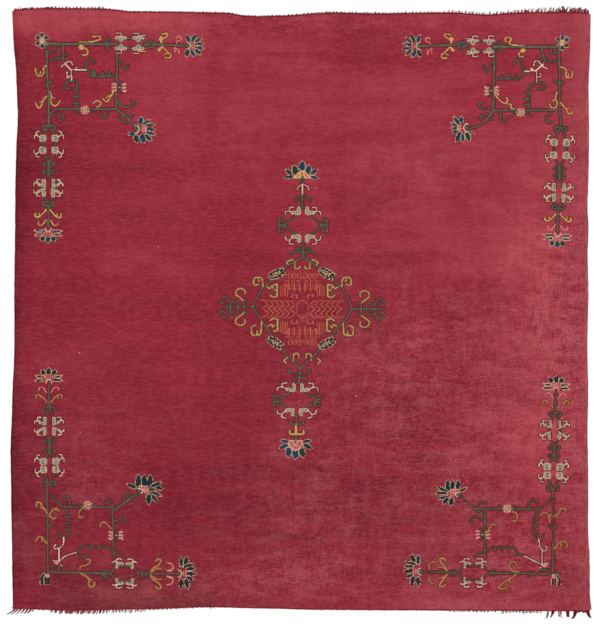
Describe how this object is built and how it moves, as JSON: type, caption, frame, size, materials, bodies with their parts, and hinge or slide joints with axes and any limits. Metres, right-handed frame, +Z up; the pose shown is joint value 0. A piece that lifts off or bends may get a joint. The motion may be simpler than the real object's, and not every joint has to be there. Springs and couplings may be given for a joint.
{
  "type": "ushak rug",
  "caption": "Room-size hand-knotted wool carpet with overcast side edges and a fringed flat-woven strip at each end, lying flat as a floor covering.",
  "frame": {"origin": "On the floor, at the centre of the rug's outer box, fringes included.", "axes": "+Z up from the floor through the pile. +Y along the warps, towards the end with the short, even fringe. +X across, towards the side with the wider selvedge."},
  "size_m": [4.0134, 4.2556, 0.009],
  "materials": {
    "madder_pile": "short matt wool pile",
    "selvedge_wool": "overcast wool yarn, matt",
    "fringe_wool": "flat-woven strip and loose wool ends, matt"
  },
  "bodies": {
    "root": {"pile_field": "madder_pile", "selvedge_left": "selvedge_wool", "selvedge_right": "selvedge_wool", "fringe_top": "fringe_wool", "fringe_bottom": "fringe_wool"}
  },
  "joints": []
}
